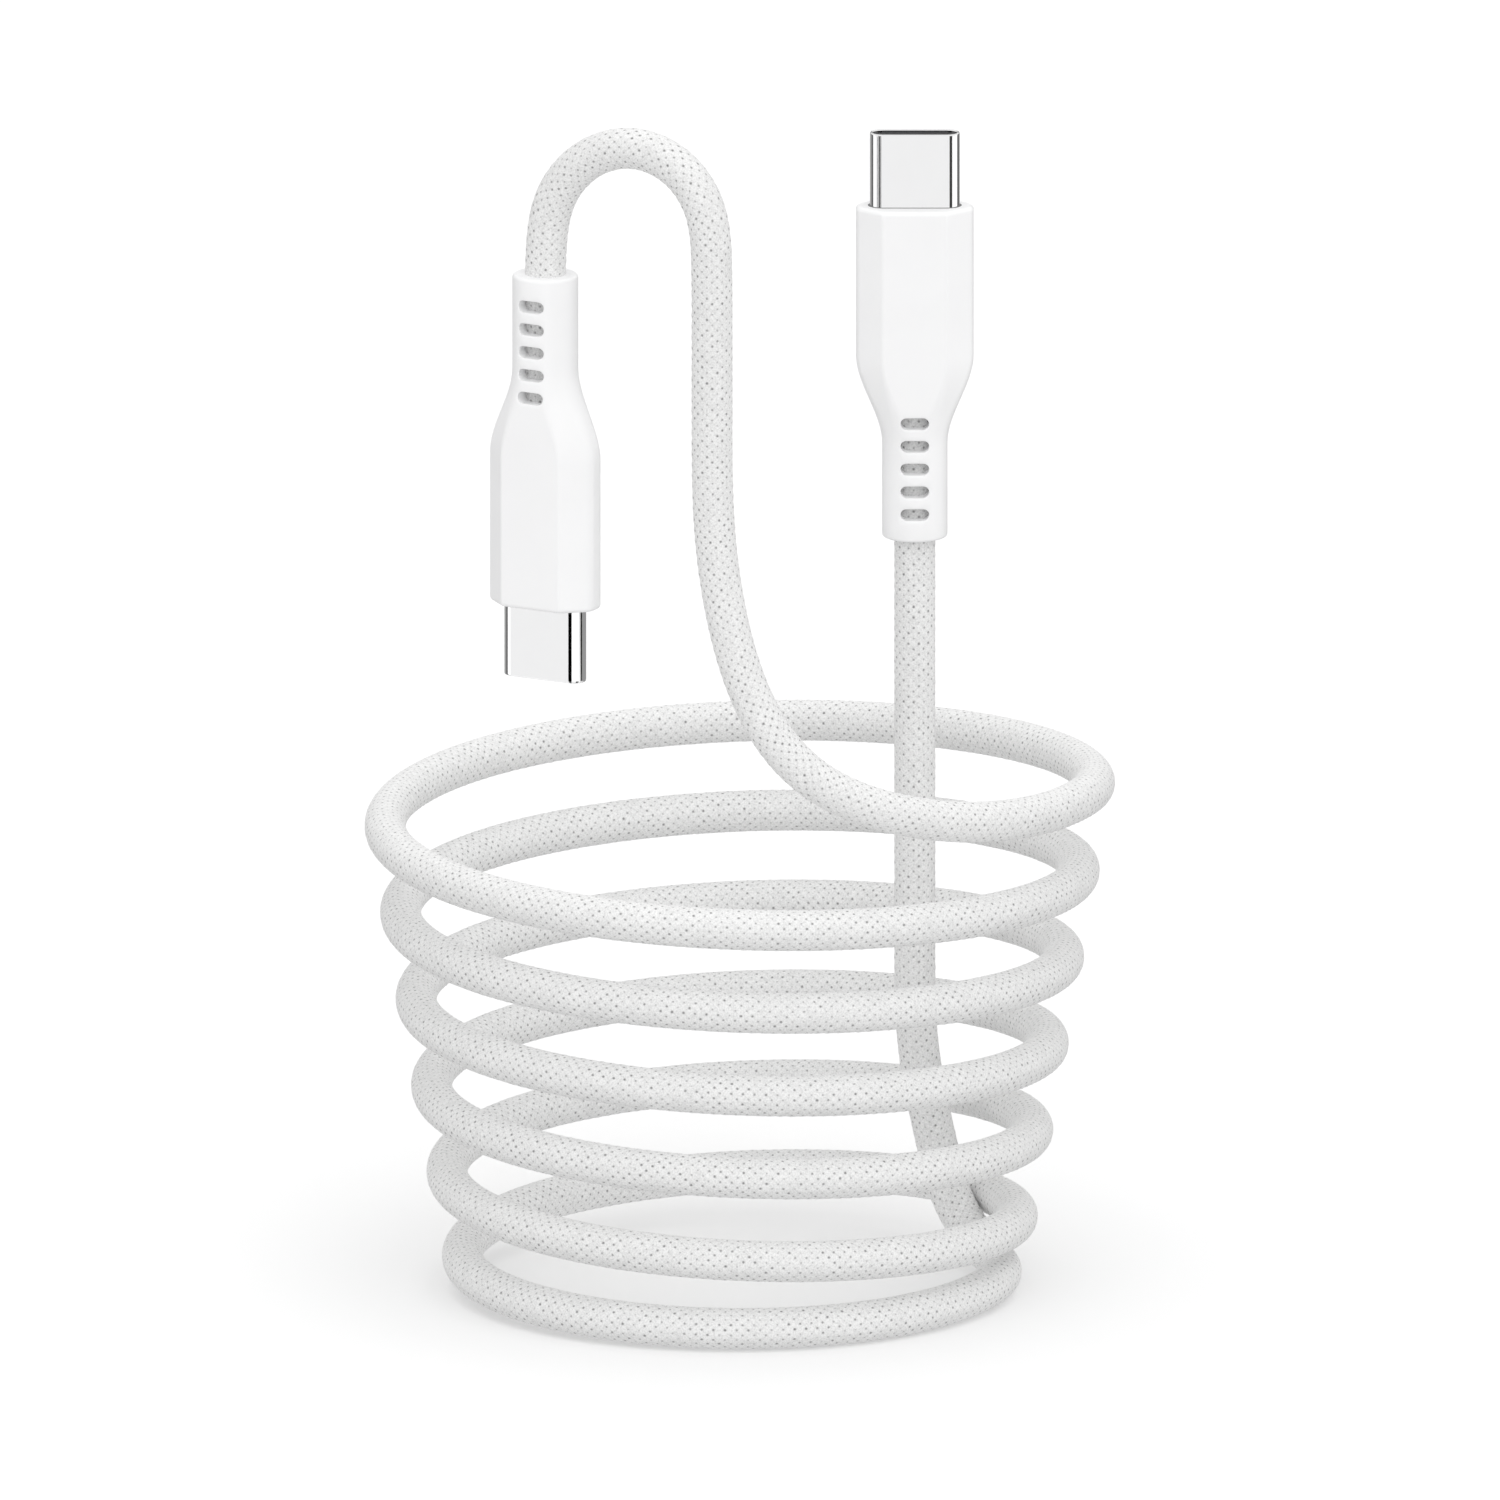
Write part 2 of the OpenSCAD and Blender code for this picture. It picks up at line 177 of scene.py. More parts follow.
def spline_line(control, steps=30):
    """Points along the uniform cubic B-spline of the control points."""
    control = np.array(control)
    line = []
    for t in np.arange(steps) / steps:
        first = (1 - t) ** 3 * control[:-3]
        second = (3 * t**3 - 6 * t**2 + 4) * control[1:-2]
        third = (-3 * t**3 + 3 * t**2 + 3 * t + 1) * control[2:-1]
        fourth = t**3 * control[3:]
        line.append((first + second + third + fourth) / 6)
    end = (control[-3] + 4 * control[-2] + control[-1]) / 6
    return np.vstack([np.stack(line, axis=1).reshape(-1, 3), end])


def evenly(line, step):
    """The line again with evenly spaced points, about step apart, and its length."""
    along = np.concatenate([[0], np.cumsum(np.linalg.norm(np.diff(line, axis=0), axis=1))])
    at = np.linspace(0, along[-1], round(along[-1] / step) + 1)
    return np.stack([np.interp(at, along, line[:, k]) for k in range(3)], axis=1), along[-1]


def normals_along(line):
    """Two directions across the line at each point, carried along it without twist."""
    tangents = np.gradient(line, axis=0)
    tangents /= np.linalg.norm(tangents, axis=1)[:, None]
    side = np.array([1.0, 0.0, 0.0])
    normals = np.empty_like(line)
    for i, tangent in enumerate(tangents):
        side = side - side.dot(tangent) * tangent
        side /= np.linalg.norm(side)
        normals[i] = side
    return normals, np.cross(tangents, normals)


# The braid: gaps lie on a diagonal grid, and a ring of the mesh passes through each row
GAP_COLUMNS = 24
ROW_PITCH = 0.0005
CORD_SIDES = 2 * GAP_COLUMNS
# How far the yarn stands out, how deep the gaps are, and how uneven the surface is
CROWN = 0.00003
GAP_DEPTH = 0.00006
FUZZ = 0.000007
FUZZ_SEED = 11

coil_points = [coil_point(i / COIL_STEPS) for i in range(int(COIL_STEPS * COIL_TURNS) + 1)]
route = spline_line(HOOK_POINTS + coil_points + RISER_POINTS)
rings, cord_length = evenly(route, ROW_PITCH)
ring_step = cord_length / (len(rings) - 1)
across, around = normals_along(rings)
uneven = np.random.default_rng(FUZZ_SEED).normal(0, FUZZ, (len(rings), CORD_SIDES))


def new_object(name, mesh):
    piece = bpy.data.objects.new(name, mesh)
    scene.collection.objects.link(piece)
    return piece


def braid_tube(name, first, last, cap_first=False, cap_last=False):
    """The stretch of cord from ring first to ring last, with the braid's relief."""
    index = np.arange(first, last + 1)
    column = np.arange(CORD_SIDES) / 2
    angle = 2 * math.pi * column / GAP_COLUMNS
    # Two diagonal counts, both whole numbers at each gap
    one = (column[None, :] + index[:, None]) / 2
    two = (column[None, :] - index[:, None]) / 2
    gap = (np.cos(math.pi * one) ** 2 + np.cos(math.pi * two) ** 2) / 2
    radius = CORD_R + CROWN - GAP_DEPTH * gap + uneven[index]
    out = np.cos(angle)[None, :, None] * across[index][:, None, :]
    out = out + np.sin(angle)[None, :, None] * around[index][:, None, :]
    points = (rings[index][:, None, :] + radius[:, :, None] * out).reshape(-1, 3)

    row, side = np.meshgrid(np.arange(len(index) - 1), np.arange(CORD_SIDES), indexing="ij")
    after = (side + 1) % CORD_SIDES
    low = row * CORD_SIDES
    high = low + CORD_SIDES
    faces = np.stack([low + side, low + after, high + after, high + side], axis=-1)
    quads = faces.reshape(-1, 4)
    rims = []
    if cap_first:
        rims.append(list(range(CORD_SIDES - 1, -1, -1)))
    if cap_last:
        rims.append([len(points) - CORD_SIDES + k for k in range(CORD_SIDES)])
    mesh = bpy.data.meshes.new(name)
    mesh.from_pydata(points.tolist(), [], quads.tolist() + rims)

    # The braid's columns and rows, for its material
    u = np.stack([side, side + 1, side + 1, side], axis=-1) / 2
    v = np.stack([row, row, row + 1, row + 1], axis=-1) + first
    uv = np.stack([u, v], axis=-1).reshape(-1, 2)
    loops = np.zeros((len(mesh.loops), 2))
    loops[: len(uv)] = uv
    layer = mesh.uv_layers.new(name="braid")
    layer.data.foreach_set("uv", loops.ravel())
    mesh.shade_smooth()
    return new_object(name, mesh)


# ---- where the plugs are

# Height in a plug's own frame of the neck's hinge
NECK_PIVOT = 0.004


def centre_of(node):
    low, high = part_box(node)
    return (low + high) / 2


def plug_place(plug):
    """The plug's own frame: Z from the neck's mouth to the tip, X across its wide side."""
    flex = next(j for j in frame["joints"] if j["name"] == plug + "_flex")
    x = Vector(flex["axis"]).normalized()
    to_tip = centre_of(plug + "_shell") - centre_of(plug + "_housing")
    z = Vector((0, 0, math.copysign(1, to_tip.z)))
    place = Matrix((x, z.cross(x), z)).transposed().to_4x4()
    place.translation = Vector(flex["pos_m"]) - NECK_PIVOT * z
    return place


PLUGS = {plug: plug_place(plug) for plug in ("plug_a", "plug_b")}


def bend_neck(piece):
    """The piece's place baked into its mesh; nothing makes it bend with the neck."""
    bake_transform(piece)


# ---- the cord's pieces

# Where the lead into each plug starts, on the hook's far side and on the riser
ARCH_END_Z = 0.1066
RISER_TOP_Z = 0.045
apex = int(np.argmax(rings[:, 2]))
arch_end = apex + int(np.argmax(rings[apex:, 2] < ARCH_END_Z))
lead_start = len(rings) - 1 - int(np.argmax(rings[::-1, 2] < RISER_TOP_Z))
half_way = (arch_end + lead_start) // 2

cord_lead_a = braid_tube("cord_lead_a", 0, arch_end, cap_first=True)
cord_upper = braid_tube("cord_upper", arch_end, half_way)
cord_lower = braid_tube("cord_lower", half_way, lead_start)
cord_lead_b = braid_tube("cord_lead_b", lead_start, len(rings) - 1, cap_last=True)
cord_pieces = {
    cord_lead_a: (0, arch_end),
    cord_upper: (arch_end, half_way),
    cord_lower: (half_way, lead_start),
    cord_lead_b: (lead_start, len(rings) - 1),
}

# ---- the plugs' housings, drawn in a plug's own frame in millimetres

HOUSING_LEN_MM = 31.0
NECK_LEN_MM = 8.6
TAPER_LEN_MM = 8.4
# Width, thickness, front flat, side flat, and the radii of the front and side edges
NECK_SECTION_MM = np.array([6.0, 5.95, 2.6, 2.4, 2.6, 2.6])
BODY_SECTION_MM = np.array([10.8, 6.0, 6.0, 1.9, 0.5, 1.2])
MOUTH_ROUND_MM = 0.3
# Height of the drawn mouth, which stands a little past the CAD's
MOUTH_MM = -0.2
FRONT_ROUND_MM = 0.42
EDGE_STEPS = 6
TAPER_STEPS = 20
# Heights of the skin's rings between the taper and the front
BARREL_RINGS_MM = (21.0, 24.0, 27.0, 29.5)
# How much each flat of an eight-sided section shortens as its sides draw in by 1
FLAT_LOSS = 0.83
SLOT_COUNT = 5
SLOT_START_MM = 2.4
SLOT_PITCH_MM = 2.15
SLOT_W_MM = 2.62
SLOT_H_MM = 1.12
SLOT_FLARE_MM = 0.07
# The flare is part of an arc, and then runs on straight until it is well clear of the skin
SLOT_FLARE_DEGREES = (0, 22, 42, 56, 66)
SLOT_FLARE_CLEAR = 0.8
# How far a slot's cutting solid reaches to the front and to the back
SLOT_REACH_MM = 4
BORE_R_MM = 1.85
FERRULE_R_MM = 2.2
# How far the cord reaches into the housing
GRIP_MM = 12.0
CAVITY_START_MM = 17.0
CAVITY_END_MM = 26.7
# Width, thickness, front flat and side flat
CAVITY_SECTION_MM = [9.56, 4.76, 5.32, 1.12]
# Width and thickness of the hole in the housing's front face
SHELL_HOLE_MM = (8.62, 2.77)
# How far a cutting solid runs into the one before it, and how far past the piece it cuts
LAP_MM = 0.01
PAST_MM = 1
HOUSING_SHARP_DEGREES = 42
SHELL_SHARP_DEGREES = 50


def octagon(width, thickness, front, side):
    """Corners of an eight-sided section, counter-clockwise."""
    quarter = [(width / 2, side / 2), (front / 2, thickness / 2)]
    half = quarter + [(-x, y) for x, y in reversed(quarter)]
    return half + [(-x, -y) for x, y in half]


def rounded(corners, radii, steps):
    """The outline with each corner turned into an arc of its own radius."""
    outline = []
    for i, corner in enumerate(corners):
        here = Vector(corner)
        into = (here - Vector(corners[i - 1])).normalized()
        away = (Vector(corners[(i + 1) % len(corners)]) - here).normalized()
        turn = into.angle(away)
        reach = radii[i] * math.tan(turn / 2)
        first = here - reach * into
        centre = first + radii[i] * Vector((-into.y, into.x))
        arm = first - centre
        for k in range(steps + 1):
            a = turn * k / steps
            spin = Matrix.Rotation(a, 2)
            outline.append(tuple(centre + spin @ arm))
    return outline


def smooth(x):
    x = min(max(x, 0), 1)
    return x * x * (3 - 2 * x)


def housing_outline(z, draw_in):
    """The housing's section at a height above the mouth, drawn in all round."""
    s = smooth((z - NECK_LEN_MM) / TAPER_LEN_MM)
    section = NECK_SECTION_MM * (1 - s) + BODY_SECTION_MM * s
    width, thickness, front, side, front_r, side_r = section.tolist()
    shrink = 2 * draw_in
    less = FLAT_LOSS * draw_in
    corners = octagon(width - shrink, thickness - shrink, front - less, side - less)
    radii = [side_r, front_r, front_r, side_r] * 2
    return rounded(corners, radii, EDGE_STEPS)


def rounding(radius, steps):
    """(distance from the end, draw-in) along a quarter circle, from the end face inwards."""
    turns = [math.pi / 2 * k / steps for k in range(steps + 1)]
    return [(radius * (1 - math.cos(a)), radius * (1 - math.sin(a))) for a in turns]


def housing_stations():
    """(height, draw-in) of each ring of the housing's skin."""
    stations = [(MOUTH_MM + up, inset) for up, inset in rounding(MOUTH_ROUND_MM, steps=5)]
    stations += [(SLOT_START_MM + (i - 0.5) * SLOT_PITCH_MM, 0) for i in range(SLOT_COUNT - 1)]
    taper = range(TAPER_STEPS + 1)
    stations += [(NECK_LEN_MM + TAPER_LEN_MM * k / TAPER_STEPS, 0) for k in taper]
    stations += [(z, 0) for z in BARREL_RINGS_MM]
    front = reversed(rounding(FRONT_ROUND_MM, steps=6))
    stations += [(HOUSING_LEN_MM - down, inset) for down, inset in front]
    return stations


def loft(sections):
    """A closed mesh through sections of equal point count: vertices and faces."""
    count = len(sections[0])
    points = [p for section in sections for p in section]
    faces = []
    for i in range(len(sections) - 1):
        for k in range(count):
            m = (k + 1) % count
            low = i * count
            faces.append((low + k, low + m, low + count + m, low + count + k))
    faces.append(tuple(range(count - 1, -1, -1)))
    faces.append(tuple(range(len(points) - count, len(points))))
    return points, faces


def stadium(width, thickness, steps=24):
    """A round-ended outline, counter-clockwise."""
    radius = thickness / 2
    reach = width / 2 - radius
    outline = []
    for side in (1, -1):
        for k in range(steps + 1):
            a = math.pi * (k / steps - 0.5)
            outline.append((side * (reach + radius * math.cos(a)), side * radius * math.sin(a)))
    return outline


def circle(radius, steps=64):
    turns = [2 * math.pi * k / steps for k in range(steps)]
    return [(radius * math.cos(a), radius * math.sin(a)) for a in turns]


def prism(outline, low, high):
    """An outline in XY carried from one height to another."""
    return loft([[(x, y, z) for x, y in outline] for z in (low, high)])


def through_y(solid, z):
    """A prism along Z laid along Y instead, at a height."""
    points, faces = solid
    return [(x, -h, y + z) for x, y, h in points], faces


def skin_depth(x, z):
    """How far the front skin is from the middle plane, at x to one side and height z."""
    front = sorted(point for point in housing_outline(z, 0) if point[1] > 0)
    xs, ys = zip(*front)
    return float(np.interp(x, xs, ys))


def slot_solid(z):
    """A slot right through the neck at a height, flared where it meets the skin."""
    # (how far below the skin, how much wider) along the flare, for a flare of size 1
    turns = [math.radians(degrees) for degrees in SLOT_FLARE_DEGREES]
    flare = [(1 - math.sin(a), 1 - math.cos(a)) for a in turns]
    below, grow = flare[-1]
    rest = (SLOT_FLARE_CLEAR + below) * math.tan(turns[-1])
    flare.append((-SLOT_FLARE_CLEAR, grow + rest))
    sections = []
    for side, steps in ((-1, flare[::-1]), (1, flare)):
        for below, grow in steps:
            wider = 2 * grow * SLOT_FLARE_MM
            outline = stadium(SLOT_W_MM + wider, SLOT_H_MM + wider, steps=16)
            reach = below * SLOT_FLARE_MM
            sections.append([(x, y, side * (skin_depth(x, z + y) - reach)) for x, y in outline])
    ends = [[(x, y, side * SLOT_REACH_MM) for x, y in outline] for side in (-1, 1)]
    return through_y(loft([ends[0], *sections, ends[1]]), z)


def mesh_of(name, *solids):
    """One mesh in metres from solids in millimetres."""
    points = []
    faces = []
    for solid_points, solid_faces in solids:
        base = len(points)
        points += [(x * MM, y * MM, z * MM) for x, y, z in solid_points]
        faces += [tuple(base + i for i in face) for face in solid_faces]
    mesh = bpy.data.meshes.new(name)
    mesh.from_pydata(points, [], faces)
    return mesh


def evaluated(piece):
    """The piece's mesh with its modifiers applied."""
    bpy.context.view_layer.update()
    graph = bpy.context.evaluated_depsgraph_get()
    return bpy.data.meshes.new_from_object(piece.evaluated_get(graph))


def cut_away(mesh, *cutters):
    """The mesh less each cutter mesh in turn."""
    piece = new_object("cutting", mesh)
    tools = []
    for cutter in cutters:
        tool = new_object("cutter", cutter)
        tools.append(tool)
        boolean = piece.modifiers.new("cut", "BOOLEAN")
        boolean.operation = "DIFFERENCE"
        boolean.solver = "EXACT"
        boolean.object = tool
    result = evaluated(piece)
    for used in [piece, *tools]:
        bpy.data.objects.remove(used)
    return result


def weigh_normals(mesh, sharp_degrees):
    """Smooth shading that leaves flat faces flat."""
    mesh.shade_smooth()
    mesh.set_sharp_from_angle(angle=math.radians(sharp_degrees))
    piece = new_object("shading", mesh)
    weighting = piece.modifiers.new("weights", "WEIGHTED_NORMAL")
    weighting.keep_sharp = True
    weighting.weight = 80
    result = evaluated(piece)
    bpy.data.objects.remove(piece)
    return result


def housing_mesh():
    """The moulded housing, with its slots, its bore and the cavity for the plug's inside."""
    sections = []
    for z, inset in housing_stations():
        sections.append([(x, y, z) for x, y in housing_outline(z, inset)])
    skin = mesh_of("housing", loft(sections))
    bore = prism(circle(BORE_R_MM), -PAST_MM, GRIP_MM)
    cavity = prism(octagon(*CAVITY_SECTION_MM), CAVITY_START_MM, CAVITY_END_MM)
    ferrule = prism(circle(FERRULE_R_MM), GRIP_MM - LAP_MM, CAVITY_START_MM + LAP_MM)
    opening = prism(stadium(*SHELL_HOLE_MM), CAVITY_END_MM - LAP_MM, HOUSING_LEN_MM + PAST_MM)
    slots = [slot_solid(SLOT_START_MM + i * SLOT_PITCH_MM) for i in range(SLOT_COUNT)]
    mesh = cut_away(
        skin,
        mesh_of("bore", bore, cavity),
        mesh_of("opening", ferrule, opening),
        mesh_of("slots", *slots),
    )
    return weigh_normals(mesh, HOUSING_SHARP_DEGREES)


# ---- the plugs' metal shells

# Width and thickness
SHELL_MM = (8.25, 2.4)
SHELL_REAR_MM = 24.2
TIP_MM = 37.9
SHELL_WALL_MM = 0.14
# (distance from the tip, how far inside the outer face) round the lip, from outside to inside
SHELL_LIP_MM = [(0.3, 0.0), (0.13, 0.0), (0.07, 0.012), (0.03, 0.035), (0.01, 0.07), (0.0, 0.115)]
SHELL_LIP_MM += [(0.008, 0.16), (0.03, 0.2), (0.07, 0.23), (0.15, 0.24), (0.4, SHELL_WALL_MM)]


def shell_mesh():
    """The drawn sheet-metal shell, open at both ends, its lip rounded inwards."""
    profile = [(SHELL_REAR_MM, 0.0), (HOUSING_LEN_MM, 0.0)]
    profile += [(TIP_MM - down, inset) for down, inset in SHELL_LIP_MM]
    profile += [(SHELL_REAR_MM, SHELL_WALL_MM)]
    sections = []
    for z, inset in profile:
        outline = stadium(SHELL_MM[0] - 2 * inset, SHELL_MM[1] - 2 * inset, steps=32)
        sections.append([(x, y, z) for x, y in outline])
    points, faces = loft(sections)
    count = len(sections[0])
    last = len(points) - count
    walls = faces[:-2]
    for k in range(count):
        m = (k + 1) % count
        walls.append((last + k, last + m, m, k))
    mesh = mesh_of("shell", (points, walls))
    return weigh_normals(mesh, SHELL_SHARP_DEGREES)


# Depths below the housing's front face of the two faces of the dark ring that paints the seam's
# shadow
SEAM_BOTTOM_MM = 0.3
SEAM_TOP_MM = 0.012


def seam_shadow_mesh():
    """A dark ring just below the moulding's face, painted shadow in the seam round the shell's foot.
    """
    low = HOUSING_LEN_MM - SEAM_BOTTOM_MM
    high = HOUSING_LEN_MM - SEAM_TOP_MM
    filled = prism(stadium(*SHELL_HOLE_MM), low, high)
    foot = prism(stadium(*SHELL_MM), low - PAST_MM, high + PAST_MM)
    return cut_away(mesh_of("seam", filled), mesh_of("foot", foot))


def placed(name, mesh, plug):
    """A copy of a mesh drawn in the plug's own frame, put where that plug is."""
    copy = mesh.copy()
    copy.transform(PLUGS[plug])
    return new_object(name, copy)


housing_shape = housing_mesh()
shell_shape = shell_mesh()
seam_shadow_shape = seam_shadow_mesh()
housings = {}
shells = {}
seam_shadows = {}
for plug in PLUGS:
    housings[plug] = placed(plug + "_housing_skin", housing_shape, plug)
    shells[plug] = placed(plug + "_shell_skin", shell_shape, plug)
    # A dark ring of painted shadow in the seam round the shell's foot
    seam_shadows[plug] = placed(plug + "_seam_shadow", seam_shadow_shape, plug)
    # So that the shell mirrors the studio right down to its foot, and not the moulding
    housings[plug].visible_glossy = False

# ---- materials

# The yarn's own colour, and the near black of the painted shade in the braid's gaps
YARN_COLOUR = (0.88, 0.88, 0.876, 1)
GAP_SHADE_COLOUR = (0.05, 0.05, 0.052, 1)
YARN_RELIEF_MM = 0.06
SCRATCH_MM = 0.0004
# How bright the braid is painted where a plug grips it: painted shade for the braid inside the neck,
# out of the light
GRIPPED_PAINTED_SHADE = 0.82


class Nodes:
    """Shader nodes added to one tree."""

    def __init__(self, tree):
        self.tree = tree

    def add(self, kind, *inputs, **settings):
        """A node with its settings made and its first inputs linked or set; its first output."""
        node = self.tree.nodes.new("ShaderNode" + kind)
        for key, value in settings.items():
            setattr(node, key, value)
        for socket, value in zip(node.inputs, inputs):
            self.feed(socket, value)
        return node.outputs[0]

    def feed(self, socket, value):
        if isinstance(value, bpy.types.NodeSocket):
            self.tree.links.new(value, socket)
        elif value is not None:
            socket.default_value = value

    def math(self, operation, *inputs):
        return self.add("Math", *inputs, operation=operation)

    def ramp(self, value, low, high, out_low=0.0, out_high=1.0, kind="SMOOTHSTEP"):
        """The value carried from one range to another."""
        return self.add("MapRange", value, low, high, out_low, out_high, interpolation_type=kind)

    def mix(self, share, low, high):
        """A colour between two colours."""
        node = self.tree.nodes.new("ShaderNodeMix")
        node.data_type = "RGBA"
        self.feed(node.inputs[0], share)
        self.feed(node.inputs[6], low)
        self.feed(node.inputs[7], high)
        return node.outputs[2]


class Graph(Nodes):
    """A material's nodes, around its main shader."""

    def __init__(self, name):
        self.material = bpy.data.materials.new(name)
        self.material.use_nodes = True
        super().__init__(self.material.node_tree)
        self.shader = self.tree.nodes["Principled BSDF"]

    def noise(self, scale, detail=2.0, stretch=(1, 1, 1)):
        """Noise in the shared frame's metres, so a scale of 1000 has features of 1 mm."""
        place = self.add("TexCoord").node.outputs["Object"]
        place = self.add("VectorMath", place, stretch, operation="MULTIPLY")
        node = self.tree.nodes.new("ShaderNodeTexNoise")
        self.feed(node.inputs["Vector"], place)
        node.inputs["Scale"].default_value = scale
        node.inputs["Detail"].default_value = detail
        return node.outputs["Fac"]

    def bump(self, height, distance, strength=1.0):
        node = self.tree.nodes.new("ShaderNodeBump")
        node.inputs["Strength"].default_value = strength
        node.inputs["Distance"].default_value = distance
        self.feed(node.inputs["Height"], height)
        self.feed(self.shader.inputs["Normal"], node.outputs[0])

    def set(self, **values):
        for name, value in values.items():
            self.feed(self.shader.inputs[name.replace("_", " ")], value)


def braid_material():
    """Braided polyester: flat yarns that cross over and under, with a small gap at each corner."""
    g = Graph("braid")
    layer = g.tree.nodes.new("ShaderNodeUVMap")
    layer.uv_map = "braid"
    split = g.tree.nodes.new("ShaderNodeSeparateXYZ")
    g.feed(split.inputs[0], layer.outputs[0])
    column, row = split.outputs[0], split.outputs[1]
    one = g.math("MULTIPLY", g.math("ADD", column, row), 0.5)
    two = g.math("MULTIPLY", g.math("SUBTRACT", column, row), 0.5)

    # The gap nearest to this point, how far off it is, how open it is, and how dark its painted shade
    # is
    gap_one = g.math("ROUND", one)
    gap_two = g.math("ROUND", two)
    off_one = g.math("SUBTRACT", one, gap_one)
    off_two = g.math("SUBTRACT", two, gap_two)
    squares = g.math("ADD", g.math("POWER", off_one, 2.0), g.math("POWER", off_two, 2.0))
    distance = g.math("SQRT", squares)
    gap_name = g.add("CombineXYZ", gap_one, gap_two, 0.0)
    chance = g.add("TexWhiteNoise", gap_name, noise_dimensions="2D")
    reach = g.ramp(chance, 0.0, 1.0, 0.17, 0.29, "LINEAR")
    gap = g.ramp(distance, 0.0, reach, 1.0, 0.0)
    depth = g.ramp(chance, 0.0, 1.0, 0.25, 0.8, "LINEAR")

    # The yarn on top here: its middle line, and the filaments along it
    cell_one = g.math("FLOOR", one)
    cell_two = g.math("FLOOR", two)
    parity = g.math("FLOORED_MODULO", g.math("ADD", cell_one, cell_two), 2.0)
    side_one = g.math("SUBTRACT", g.math("SUBTRACT", one, cell_one), 0.5)
    side_two = g.math("SUBTRACT", g.math("SUBTRACT", two, cell_two), 0.5)
    flipped = g.math("SUBTRACT", 1.0, parity)
    side = g.math("ADD", g.math("MULTIPLY", side_one, parity), g.math("MULTIPLY", side_two, flipped))
    along = g.math("ADD", g.math("MULTIPLY", side_two, parity), g.math("MULTIPLY", side_one, flipped))
    crown = g.math("COSINE", g.math("MULTIPLY", side, math.pi))
    hump = g.math("COSINE", g.math("MULTIPLY", along, math.pi))
    wander = g.noise(3500, 1.0)
    turns = g.math("ADD", g.math("MULTIPLY", side, 44.0), g.math("MULTIPLY", wander, 9.0))
    filament = g.math("ADD", g.math("MULTIPLY", g.math("SINE", turns), 0.5), 0.5)

    # Colour: painted shade at the yarn edges, where they dip under the crossing yarn, filaments a
    # little darker, and darker painted shade in the gaps
    cell_name = g.add("CombineXYZ", cell_one, cell_two, 0.0)
    cell_chance = g.add("TexWhiteNoise", cell_name, noise_dimensions="2D")
    light = g.ramp(crown, 0.0, 0.6, 0.955, 1.0, "LINEAR")
    light = g.math("MULTIPLY", light, g.ramp(filament, 0.0, 1.0, 0.955, 1.0, "LINEAR"))
    light = g.math("MULTIPLY", light, g.ramp(cell_chance, 0.0, 1.0, 0.95, 1.0, "LINEAR"))
    patches = g.ramp(g.noise(260, 3.0), 0.3, 0.7, 0.97, 1.0, "LINEAR")
    light = g.math("MULTIPLY", light, patches)
    mottle = g.ramp(g.noise(6500, 1.5), 0.3, 0.7, 0.83, 1.1, "LINEAR")
    light = g.math("MULTIPLY", light, mottle)
    shade = g.math("SUBTRACT", 1.0, g.math("MULTIPLY", gap, depth))
    light = g.math("MULTIPLY", light, shade)

    # Painted shade where a plug grips it, for the braid inside the neck out of the light
    grip_rows = GRIP_MM * MM / ring_step
    far_rows = len(rings) - 1 - grip_rows
    grip_shade_a = g.ramp(row, grip_rows - 1.5, grip_rows - 0.5, GRIPPED_PAINTED_SHADE, 1.0)
    grip_shade_b = g.ramp(row, far_rows + 0.5, far_rows + 1.5, 1.0, GRIPPED_PAINTED_SHADE)
    light = g.math("MULTIPLY", light, g.math("MULTIPLY", grip_shade_a, grip_shade_b))
    colour = g.mix(light, GAP_SHADE_COLOUR, YARN_COLOUR)
    height = g.math("ADD", g.math("MULTIPLY", crown, 0.25), g.math("MULTIPLY", hump, 0.15))
    height = g.math("ADD", height, g.math("MULTIPLY", filament, 0.1))
    height = g.math("SUBTRACT", height, g.math("MULTIPLY", gap, 0.9))
    g.bump(height, YARN_RELIEF_MM * MM, 0.8)
    g.set(Base_Color=colour, Roughness=g.ramp(light, 0.3, 1.0, 0.95, 0.72, "LINEAR"))
    g.set(Specular_IOR_Level=0.25, Sheen_Weight=0.15, Sheen_Roughness=0.5)
    return g.material


def moulded_material(name, colour, roughness, grain_mm=0.0015, tint=0.02):
    """A moulded plastic: faint clouding, a fine skin texture and uneven gloss."""
    g = Graph(name)
    cloud = g.ramp(g.noise(180, 3.0), 0.3, 0.7, 0.0, 1.0, "LINEAR")
    darker = tuple(c * (1 - tint) for c in colour) + (1,)
    g.set(Base_Color=g.mix(cloud, darker, tuple(colour) + (1,)))
    gloss = g.noise(900, 3.0)
    g.set(Roughness=g.ramp(gloss, 0.3, 0.7, roughness * 0.9, roughness * 1.12, "LINEAR"))
    skin = g.noise(9000, 2.0)
    g.bump(skin, grain_mm * MM)
    g.set(Specular_IOR_Level=0.3)
    return g.material


def metal_material(name, colour, roughness, streak=(1, 1, 1), wear=0.03):
    """A metal: faint stains, uneven polish and very fine scratches along one way."""
    g = Graph(name)
    stain = g.ramp(g.noise(700, 3.0), 0.35, 0.7, 0.0, 1.0, "LINEAR")
    darker = tuple(c * (1 - wear) for c in colour) + (1,)
    g.set(Base_Color=g.mix(stain, tuple(colour) + (1,), darker), Metallic=1.0)
    polish = g.noise(2600, 4.0, streak)
    g.set(Roughness=g.ramp(polish, 0.3, 0.7, roughness * 0.75, roughness * 1.3, "LINEAR"))
    scratch = g.noise(12000, 2.0, streak)
    g.bump(scratch, SCRATCH_MM * MM)
    return g.material
